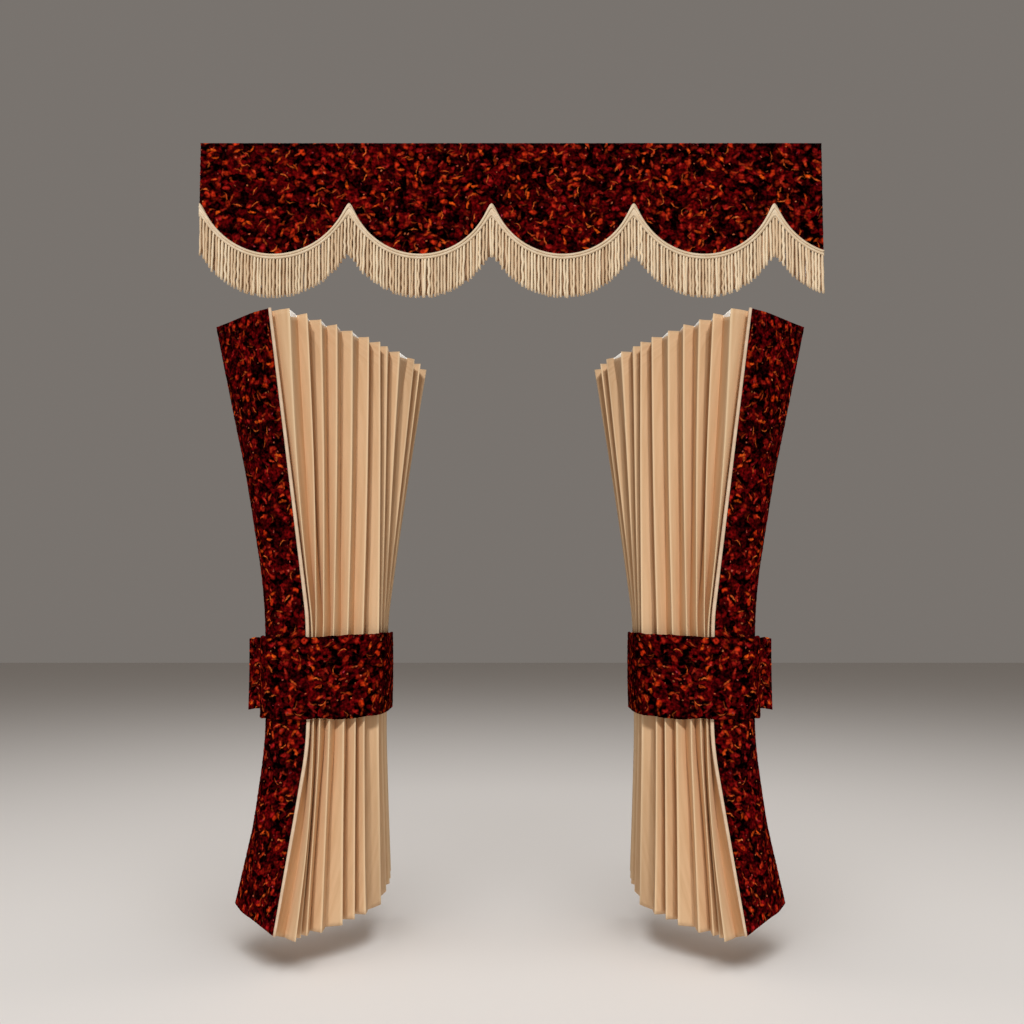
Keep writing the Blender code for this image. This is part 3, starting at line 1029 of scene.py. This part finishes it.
# %% How a strand hangs
# How a strand differs from the next: its thickness, its waves, and how far it strays.
THINNEST, THICKEST = 0.84, 1.06
FEWEST_WAVES, MOST_WAVES = 2.0, 4.0
SWAY, STRAY, BOW_OUT = 0.5 * MM, 0.7 * MM, 0.4 * MM
# The heading pinches a strand to a share of its width, and its cut end thins by another.
# The rates say how fast: over a twelfth of its length, and over the last fourteenth.
PINCH, PINCH_RATE = 0.72, 12
THINS, THINS_RATE = 0.15, 14


def hang(points, x, y, top, length, stout):
    """A strand's points at their place, turned, swayed and drawn in at both ends."""
    turn = chance.uniform(0, math.tau)
    thick = chance.uniform(THINNEST, THICKEST) * stout
    share = -points[:, 2]
    pinched = PINCH + (1 - PINCH) * np.minimum(1, share * PINCH_RATE)
    thinned = THINS * np.clip(share * THINS_RATE - (THINS_RATE - 1), 0, 1)
    width = thick * (pinched - thinned)
    px = (points[:, 0] * math.cos(turn) - points[:, 1] * math.sin(turn)) * width
    py = (points[:, 0] * math.sin(turn) + points[:, 1] * math.cos(turn)) * width
    waves = chance.uniform(FEWEST_WAVES, MOST_WAVES)
    sway = chance.normal(0, SWAY) * np.sin(math.tau * (share * waves + chance.random()))
    stray = chance.normal(0, STRAY) * share
    out = chance.normal(0, BOW_OUT) * np.sin(math.pi * share)
    across = x + px + sway * share**0.5 + stray
    return np.column_stack([across, y + py + out, top - share * length])


print("a strand is", STRAND_WIDTH / MM, "mm wide and sways by about", SWAY / MM, "mm")

# %% The strands in two layers
FRINGE_LENGTH = 62.5 * MM
TUCKED_UP = 3 * MM
LENGTH_VARIES, PITCH_VARIES = 0.5 * MM, 0.35 * MM
# The back layer is plainer, shorter and stouter. Its low tints paint it a darker shade, the
# shade it hangs in behind the front one.
Layer = namedtuple("Layer", "sides rows back shorter stout tint tint_varies")
LAYERS = (
    Layer(6, 10, -1.2 * MM, 0, 1.0, 0.4, 0.6),
    Layer(5, 5, 3 * MM, 6 * MM, 1.45, 0.0, 0.2),
)
fringe_y = sum(corner.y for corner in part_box("pelmet_fringe")) / 2
most = int((pelmet_width - STRAND_WIDTH) / STRAND_PITCH) + 1
strands, tints_and_painted_shade = [], []
for fewer, layer in enumerate(LAYERS):
    points, faces = model_strand(layer.sides, layer.rows)
    count = most - fewer
    first_x = (pelmet_left + pelmet_right - (count - 1) * STRAND_PITCH) / 2
    for i in range(count):
        strays = chance.normal(0, PITCH_VARIES) * (0 < i < count - 1)
        x = first_x + i * STRAND_PITCH + strays
        top = scallop(x, BRAID_WIDTH) + TUCKED_UP
        length = FRINGE_LENGTH + TUCKED_UP + chance.normal(0, LENGTH_VARIES) - layer.shorter
        hung = hang(points, x, fringe_y + layer.back, top, length, layer.stout)
        strands.append((hung, faces))
        # The front layer's tints differ at random; the back layer's low ones are painted shade.
        tints_and_painted_shade += [layer.tint + layer.tint_varies * chance.random()] * len(points)
fringe = joined("pelmet_strands", strands)
put_attribute(fringe, "tint", tints_and_painted_shade)

# %% [markdown]
# ## Colours and nodes
# Colours are written as they look on a screen, in hex, and one function turns them into the
# linear values that a shader needs. A second function adds a node, so that a material reads
# as a list of what it is made of, and a third ends a material, because all of them end alike:
# with a colour, with a bump, and with plain values on the shader's own sockets. A wave
# texture repeats about three times in one unit, so a scale near 0.32 gives one wave a thread.

# %% Helpers for materials


def linear(code):
    """A hex colour as linear red, green, blue and alpha."""
    parts = [int(code[k : k + 2], 16) / 255 for k in (1, 3, 5)]
    bent = [c / 12.92 if c <= 0.04045 else ((c + 0.055) / 1.055) ** 2.4 for c in parts]
    return (*bent, 1.0)


def add(tree, kind, inputs=None, stops=(), **settings):
    """Adds a node and gives its outputs. An input is a value, or a socket to link from.
    Stops are the places and colours of a colour ramp."""
    made = tree.nodes.new("ShaderNode" + kind)
    for name, value in settings.items():
        setattr(made, name, value)
    for name, value in (inputs or {}).items():
        if isinstance(value, bpy.types.NodeSocket):
            tree.links.new(value, made.inputs[name])
        else:
            made.inputs[name].default_value = value
    for i, (place, code) in enumerate(stops):
        elements = made.color_ramp.elements
        stop = elements[i] if i < 2 else elements.new(place)
        stop.position = place
        stop.color = linear(code)
    return made.outputs


def start_material(name):
    """A new material and its tree of nodes."""
    material = bpy.data.materials.new(name)
    material.use_nodes = True
    return material, material.node_tree


def set_values(material, values):
    """Puts plain values on the shader's own sockets."""
    shader = material.node_tree.nodes["Principled BSDF"]
    for name, value in values.items():
        shader.inputs[name].default_value = value
    print(material.name, "has", len(material.node_tree.nodes), "nodes")
    return material


def end_material(material, colour, height, strength, depth, values):
    """Links a colour and a bump to the shader, and sets its plain values.
    The bump has a height to read, a strength, and a depth in metres."""
    tree = material.node_tree
    shader = tree.nodes["Principled BSDF"]
    bump = add(tree, "Bump", {"Height": height, "Strength": strength, "Distance": depth})[0]
    tree.links.new(colour, shader.inputs["Base Color"])
    tree.links.new(bump, shader.inputs["Normal"])
    return set_values(material, values)


# %% [markdown]
# ## Pressed curtain cloth
# The pleated cloth is a brushed polyester satin in a warm cream, pressed with heat so that
# its pleats stay for good. It is matt and soft, with long faint streaks, and a highlight is
# painted along the pressed crests. Its threads are half a millimetre apart, drawn here at one
# millimetre so that they can show at all.

# %% Pressed polyester cloth
# The third cream is a painted highlight, mixed in along the crests.
CREAM, CREAM_DEEP, CREAM_CREST_HIGHLIGHT = "#E4BE94", "#DAB287", "#F1D2A9"
STREAK_WIDTH, STREAK_LENGTH = 9 * MM, 120 * MM
THREAD = 1.0 * MM


def pressed_cloth():
    material, tree = start_material("pressed polyester cloth")
    place = add(tree, "UVMap", uv_map="cloth")["UV"]
    streaked = {"Vector": place, "Scale": (1 / STREAK_WIDTH, 1 / STREAK_LENGTH, 1)}
    streaked = add(tree, "Mapping", streaked)[0]
    streaks = add(tree, "TexNoise", {"Vector": streaked, "Scale": 1, "Detail": 4})["Fac"]
    body = add(tree, "ValToRGB", {"Fac": streaks}, ((0.30, CREAM_DEEP), (0.62, CREAM)))[0]
    # The crest columns are mixed fully into the paler cream: a painted highlight along each crest.
    folded = add(tree, "Attribute", attribute_name="folded")["Fac"]
    crest = add(tree, "Math", {0: folded, 1: 0.0}, operation="MAXIMUM")[0]
    pale = linear(CREAM_CREST_HIGHLIGHT)
    colour = add(tree, "MixRGB", {"Fac": crest, "Color1": body, "Color2": pale})[0]
    threads = add(tree, "Mapping", {"Vector": place, "Scale": (1 / THREAD, 1 / THREAD, 1)})[0]
    weft = add(tree, "TexWave", {"Vector": threads, "Scale": 2 / math.tau})["Fac"]
    values = {"Roughness": 0.8, "Specular IOR Level": 0.25, "Sheen Weight": 0.04}
    return end_material(material, colour, weft, 0.10, 0.1 * MM, values)


cloth_material = pressed_cloth()

# %% [markdown]
# ## Mottled plush
# Cut plush for cab interiors is printed or woven in many colours at once: soft chips of
# black, maroon and red, with brighter flakes and curls of red and orange on top. The chips
# are the cells of a Voronoi pattern, softened and stirred with noise. For the flakes, each
# cell of a coarser pattern holds one mark: the place inside the cell is turned by a random
# angle, bent along its length and measured against an oval. A last fine noise shades all of
# it, as the tips of a pile do. The layout is the lesson's own. The back of the plush is a
# plain dark lining, with threads that are drawn coarse enough to show.

# %% Chips, and the lining
CHIP, CLOUD = 9 * MM, 6 * MM
CHIP_COLOURS = (
    (0.20, "#000000"),
    (0.32, "#140103"),
    (0.44, "#2C0204"),
    (0.56, "#460306"),
    (0.70, "#620508"),
    (0.88, "#860E0C"),
)
LINING_THREAD, LINING_SLUB = 2.0 * MM, 30 * MM
LINING_COLOURS = ((0.10, "#26120F"), (0.42, "#46271F"))


def stirred_chips(tree, place, stirred):
    """Soft chips of maroon and black, darker in clouds."""
    chips = {"Vector": stirred, "Scale": 1 / CHIP, "Smoothness": 0.25}
    chips = add(tree, "TexVoronoi", chips, voronoi_dimensions="2D", feature="SMOOTH_F1")
    dice = add(tree, "SeparateColor", {"Color": chips["Color"]})[0]
    clouds = add(tree, "TexNoise", {"Vector": place, "Scale": 1 / CLOUD, "Detail": 1})["Fac"]
    cloudy = add(tree, "Math", {0: clouds, 1: 0.9, 2: -0.25}, operation="MULTIPLY_ADD")[0]
    tone = add(tree, "Math", {0: dice, 1: 0.55, 2: cloudy}, operation="MULTIPLY_ADD")[0]
    return add(tree, "ValToRGB", {"Fac": tone}, CHIP_COLOURS)[0]


def woven_lining(tree, place):
    """A dark plain weave whose threads are uneven both ways."""
    thread, slub = 1 / LINING_THREAD, 1 / LINING_SLUB
    threads = []
    for scale in ((thread, slub, 1), (slub, thread, 1)):
        drawn = add(tree, "Mapping", {"Vector": place, "Scale": scale})[0]
        threads.append(add(tree, "TexNoise", {"Vector": drawn, "Scale": 1, "Detail": 1})["Fac"])
    crossed = add(tree, "Math", {0: threads[0], 1: threads[1]}, operation="MULTIPLY")[0]
    return add(tree, "ValToRGB", {"Fac": crossed}, LINING_COLOURS)[0]


print(len(CHIP_COLOURS), "colours of chip")

# %% Marks on the pile
# Each kind of mark: its cell, length, width, bend, share of cells, and two colours.
Mark = namedtuple("Mark", "cell length width bend share cool warm")
MARKS = (
    Mark(21 * MM, 20 * MM, 6.0 * MM, 0.3, 0.60, "#050001", "#000000"),
    Mark(16 * MM, 12.5 * MM, 8.0 * MM, 0.3, 0.50, "#A8161A", "#E43C12"),
    Mark(15 * MM, 13.5 * MM, 4.4 * MM, 0.4, 0.45, "#B01C20", "#FC6018"),
    Mark(21 * MM, 15 * MM, 2.6 * MM, 1.6, 0.45, "#C04A1C", "#F07430"),
    Mark(13 * MM, 3.2 * MM, 3.0 * MM, 0.0, 0.25, "#B02C44", "#E8824C"),
)
# A mark is full inside the first share of its oval, and gone outside the second. Each kind
# of mark reads its cells at another place, so that no two kinds fall together.
MARK_FULL, MARK_GONE = 0.3, 1.3
FIRST_PLACE, PLACE_STEP = 3.1, 4.6


def marked(tree, place, colour, mark, start):
    """The colour with one kind of mark over it, at most one to a cell."""
    per_cell = (1 / mark.cell, 1 / mark.cell, 1)
    moved = {"Vector": place, "Location": (start, start * 0.7, 0), "Scale": per_cell}
    moved = add(tree, "Mapping", moved)[0]
    cells = {"Vector": moved, "Scale": 1, "Randomness": 0.9}
    cells = add(tree, "TexVoronoi", cells, voronoi_dimensions="2D")
    inside = add(tree, "VectorMath", {0: moved, 1: cells["Position"]}, operation="SUBTRACT")[0]
    dice = add(tree, "SeparateColor", {"Color": cells["Color"]})
    angle = add(tree, "Math", {0: dice[0], 1: math.tau}, operation="MULTIPLY")[0]
    turned = {"Vector": inside, "Angle": angle}
    turned = add(tree, "VectorRotate", turned, rotation_type="Z_AXIS")[0]
    x, y, _ = add(tree, "SeparateXYZ", {"Vector": turned})
    square = add(tree, "Math", {0: x, 1: x}, operation="MULTIPLY")[0]
    bend = {"Value": dice[1], "To Min": -mark.bend, "To Max": mark.bend}
    bend = add(tree, "MapRange", bend)[0]
    bent = add(tree, "Math", {0: square, 1: bend, 2: y}, operation="MULTIPLY_ADD")[0]
    flat = add(tree, "CombineXYZ", {"X": x, "Y": bent})[0]
    oval = (mark.cell / mark.length * 2, mark.cell / mark.width * 2, 0)
    scaled = add(tree, "VectorMath", {0: flat, 1: oval}, operation="MULTIPLY")[0]
    far = add(tree, "VectorMath", {0: scaled}, operation="LENGTH")["Value"]
    shape = {"Value": far, "From Min": MARK_GONE, "From Max": MARK_FULL}
    shape = add(tree, "MapRange", shape, interpolation_type="SMOOTHSTEP")[0]
    chosen = {"Value": dice[2], "From Min": 1 - mark.share, "From Max": 1 - mark.share * 0.2}
    chosen = add(tree, "MapRange", chosen)[0]
    strength = add(tree, "Math", {0: shape, 1: chosen}, operation="MULTIPLY")[0]
    paint = {"Fac": dice[1], "Color1": linear(mark.cool), "Color2": linear(mark.warm)}
    paint = add(tree, "MixRGB", paint)[0]
    return add(tree, "MixRGB", {"Fac": strength, "Color1": colour, "Color2": paint})[0]


print(len(MARKS), "kinds of mark")

# %% Mottled cut-pile plush
STIR, TIP, PILE = 7 * MM, 4.6 * MM, 1.6 * MM
SHEEN = "#8A1A12"


def mottled_plush():
    material, tree = start_material("mottled cut-pile plush")
    place = add(tree, "UVMap", uv_map="cloth")["UV"]
    waves = add(tree, "TexNoise", {"Vector": place, "Scale": 1 / STIR, "Detail": 2})["Color"]
    centred = add(tree, "VectorMath", {0: waves, 1: (0.5, 0.5, 0.5)}, operation="SUBTRACT")[0]
    stirred = {0: centred, 1: (STIR, STIR, 0), 2: place}
    stirred = add(tree, "VectorMath", stirred, operation="MULTIPLY_ADD")[0]
    colour = stirred_chips(tree, place, stirred)
    for i, mark in enumerate(MARKS):
        colour = marked(tree, stirred, colour, mark, FIRST_PLACE + PLACE_STEP * i)
    tips = add(tree, "TexNoise", {"Vector": place, "Scale": 1 / TIP, "Detail": 0})["Fac"]
    shade = {"Value": tips, "From Min": 0.25, "From Max": 0.70, "To Min": 0.22, "To Max": 1.15}
    shade = add(tree, "MapRange", shade)[0]
    colour = add(tree, "VectorMath", {0: colour, "Scale": shade}, operation="SCALE")[0]
    lining = add(tree, "Attribute", attribute_name="lining")["Fac"]
    back = woven_lining(tree, place)
    colour = add(tree, "MixRGB", {"Fac": lining, "Color1": colour, "Color2": back})[0]
    pile = add(tree, "TexNoise", {"Vector": place, "Scale": 1 / PILE, "Detail": 2})["Fac"]
    values = {
        "Roughness": 1.0,
        "Specular IOR Level": 0.0,
        "Sheen Weight": 0.06,
        "Sheen Roughness": 0.5,
        "Sheen Tint": linear(SHEEN),
    }
    return end_material(material, colour, pile, 0.4, 0.8 * MM, values)


plush_material = mottled_plush()

# %% [markdown]
# ## Viscose trimmings
# Braid and fringe are spun from the same viscose yarn, so they share a finish: a light cream
# with a faint silky gloss, and fine fibres. A strand's fibres slant with its twist, and each
# strand has a tint of its own. The strands of the fringe's back layer are painted a darker
# shade on top of that, the shade that falls behind the front ones. The braid is tinted in soft
# patches instead.

# %% Viscose yarn
FIBRE_SLANT, FIBRE_PITCH = 0.9, 2.6 * MM
BRAID_PATCH, BRAID_FIBRE = 12 * MM, 0.8 * MM


def viscose_yarn(name, pale, deep, shaded, twisted):
    material, tree = start_material(name)
    place = add(tree, "TexCoord")["Object"]
    if twisted:
        tint = add(tree, "Attribute", attribute_name="tint")["Fac"]
        shift = add(tree, "CombineXYZ", {"Z": tint})[0]
        moved = add(tree, "VectorMath", {0: place, 1: shift}, operation="ADD")[0]
        turned = add(tree, "Mapping", {"Vector": moved, "Rotation": (0, FIBRE_SLANT, 0)})[0]
        fibres = {"Vector": turned, "Scale": 0.314 / FIBRE_PITCH, "Distortion": 1.0}
        fibres = add(tree, "TexWave", fibres, bands_direction="Z")["Fac"]
    else:
        tint = add(tree, "TexNoise", {"Vector": place, "Scale": 1 / BRAID_PATCH})["Fac"]
        fibres = add(tree, "TexNoise", {"Vector": place, "Scale": 1 / BRAID_FIBRE})["Fac"]
    # The stop called shaded is painted shade, which only the fringe's back layer reaches.
    colour = add(tree, "ValToRGB", {"Fac": tint}, ((0.1, shaded), (0.4, deep), (0.9, pale)))[0]
    values = {"Roughness": 0.55, "Specular IOR Level": 0.35}
    return end_material(material, colour, fibres, 0.06, 0.3 * MM, values)


# A8825F is the painted shade of the fringe's back strands.
fringe_material = viscose_yarn("twisted viscose yarn", "#F6E0BE", "#DDBE98", "#A8825F", True)
braid_material = viscose_yarn("viscose gimp braid", "#F8E6CA", "#EAD2B0", "#EAD2B0", False)

# %% [markdown]
# ## Edging and tape
# The edging is a tighter, greyer cloth than the pleats, with a slight gloss where it is
# stretched over its cord. The heading tape is bleached white cotton, matt, woven in ribs.

# %% Edging cloth and cotton tape
STRIP_PATCH = 15 * MM


def woven_strip(name, pale, deep, thread, roughness):
    material, tree = start_material(name)
    place = add(tree, "UVMap", uv_map="cloth")["UV"]
    patches = {"Vector": place, "Scale": 1 / STRIP_PATCH, "Detail": 3}
    patches = add(tree, "TexNoise", patches)["Fac"]
    colour = add(tree, "ValToRGB", {"Fac": patches}, ((0.35, deep), (0.65, pale)))[0]
    threads = add(tree, "Mapping", {"Vector": place, "Scale": (1 / thread, 1 / thread, 1)})[0]
    ribs = add(tree, "TexWave", {"Vector": threads, "Scale": 0.32}, bands_direction="Y")["Fac"]
    return end_material(material, colour, ribs, 0.3, 0.2 * MM, {"Roughness": roughness})


edging_material = woven_strip("folded edging cloth", "#EBCFB2", "#DDBF9F", 0.9 * MM, 0.7)
tape_material = woven_strip("cotton heading tape", "#F1EEE8", "#E2DED6", 1.2 * MM, 0.85)

# %% [markdown]
# ## What each piece is
# Now each piece gets its finish, the solid that it stands for is hidden, and it is attached
# to the body that it moves with. The pelmet's scallops leave 86% of the rectangle it was cut
# from.


def dress(piece, material, node):
    piece.data.materials.clear()
    piece.data.materials.append(material)
    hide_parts(node)
    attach(piece, "root")


for side in ("left", "right"):
    pleats, border, band, edging, tape = (
        pieces[f"{side}_{kind}"] for kind in ("pleats", "border", "band", "edging_strip", "tape")
    )
    dress(pleats, cloth_material, f"{side}_pleated_cloth")
    dress(border, plush_material, f"{side}_plush_border")
    dress(band, plush_material, f"{side}_tie_band")
    dress(edging, edging_material, f"{side}_edging")
    dress(tape, tape_material, f"{side}_heading_tape")
dress(pelmet_cloth, plush_material, "pelmet_panel")
dress(braid, braid_material, "pelmet_braid")
dress(braid_tape, braid_material, "pelmet_braid")
dress(fringe, fringe_material, "pelmet_fringe")
pelmet = [pelmet_cloth, braid, braid_tape, fringe]
print(len(pieces) + len(pelmet), "pieces are dressed")

# %% [markdown]
# ## The studio
# The set hangs free above a plain pale floor. The camera stands at the height of the bands'
# top edge, 1.3 m in front of the pelmet, and looks up by three degrees. Its lens is wide and
# is shifted up a little, to take in the pelmet and the hems alike.

# %% Floor, world and camera
EYE = Vector((0.003, -1.290, band_top_z))
LENS, PITCH, SHIFT = 28.75, math.radians(2.946), 0.08
FLOOR_SIZE, FLOOR_DROP = 30, 0.05
WORLD_COLOUR, WORLD_STRENGTH = "#FFF4EA", 0.19
scene = bpy.context.scene

bpy.ops.object.select_all(action="DESELECT")
floor_z = solid_box[0][2] - FLOOR_DROP
bpy.ops.mesh.primitive_plane_add(size=FLOOR_SIZE, location=(0, 0, floor_z))
floor = bpy.context.object
floor.name = "studio_floor"
floor_material, _ = start_material("pale studio floor")
floor_values = {"Base Color": linear("#E6E2DE"), "Roughness": 0.9, "Specular IOR Level": 0.1}
floor.data.materials.append(set_values(floor_material, floor_values))

scene.world = bpy.data.worlds.new("studio")
scene.world.use_nodes = True
sky = scene.world.node_tree.nodes["Background"]
sky.inputs["Color"].default_value = linear(WORLD_COLOUR)
sky.inputs["Strength"].default_value = WORLD_STRENGTH
scene.view_settings.view_transform = "Standard"

lens = bpy.data.cameras.new("camera")
lens.lens = LENS
lens.shift_y = SHIFT
lens.clip_start = 0.01
camera = bpy.data.objects.new("camera", lens)
camera.location = EYE
camera.rotation_euler = (math.pi / 2 + PITCH, 0, 0)
scene.collection.objects.link(camera)
scene.camera = camera
print("the camera stands at", [round(value, 3) for value in EYE])

# %% [markdown]
# ## Light
# Pleats show by their shade. Each curtain has a key light of its own, in front of it and
# towards its outer side, so that the faces are lit and the returns fall dark, and a weaker
# one straight in front that keeps the returns from going black. They stand far off and are
# small, which keeps the edges of the shade crisp. Light linking keeps the two curtains' lights
# from filling each other's shade, and gives the pelmet, the floor and the white tapes lights
# of their own. A wide soft light behind the set shows the backs of the cloths.

# %% Lights
FAR = 12.0
SMALL = (0.9, 0.9)
KEY_ROUND, KEY_UP = 10, 37


def area_light(name, target, distance, turned, raised, size, power, lit):
    """A light some degrees to the right of the front and above level, aimed at a target.
    Only the objects called lit take its light. Only they cast its shadows, too, unless the
    floor is one of them."""
    data = bpy.data.lights.new(name, "AREA")
    data.shape = "RECTANGLE"
    data.size, data.size_y = size
    data.energy = power
    turned, raised = math.radians(turned), math.radians(raised)
    level = math.cos(raised)
    towards = Vector((math.sin(turned) * level, -math.cos(turned) * level, math.sin(raised)))
    light = bpy.data.objects.new(name, data)
    light.location = Vector(target) + towards * distance
    light.rotation_euler = towards.to_track_quat("Z", "Y").to_euler()
    scene.collection.objects.link(light)
    linked = bpy.data.collections.new(f"lit by {name}")
    for receiver in lit:
        linked.objects.link(receiver)
    light.light_linking.receiver_collection = linked
    if floor not in lit:
        light.light_linking.blocker_collection = linked
    print(name, power, "W")


for side, sign in (("left", -1), ("right", 1)):
    curtain = [piece for name, piece in pieces.items() if name.startswith(side)]
    middle = (sign * 0.33, 0.1, -0.8)
    area_light(f"{side}_key", middle, FAR, sign * KEY_ROUND, KEY_UP, SMALL, 620, curtain)
    area_light(f"{side}_front", middle, FAR, 0, KEY_UP, SMALL, 270, curtain)
area_light("pelmet_key", (0, 0, -0.13), FAR, -30, 34, SMALL, 1050, pelmet)
area_light("floor_wash", (0, 0.5, -1.33), 4.0, 0, 70, (3, 3), 140, [floor])
tapes = [pieces["left_tape"], pieces["right_tape"]]
area_light("tape_light", (0, 0.1, -0.25), 3.0, 0, 10, (2, 0.3), 130, tapes)
everything = [*pieces.values(), *pelmet]
area_light("back_fill", (0, 0.15, -0.7), 6.0, 180, 30, (3, 2), 110, everything)
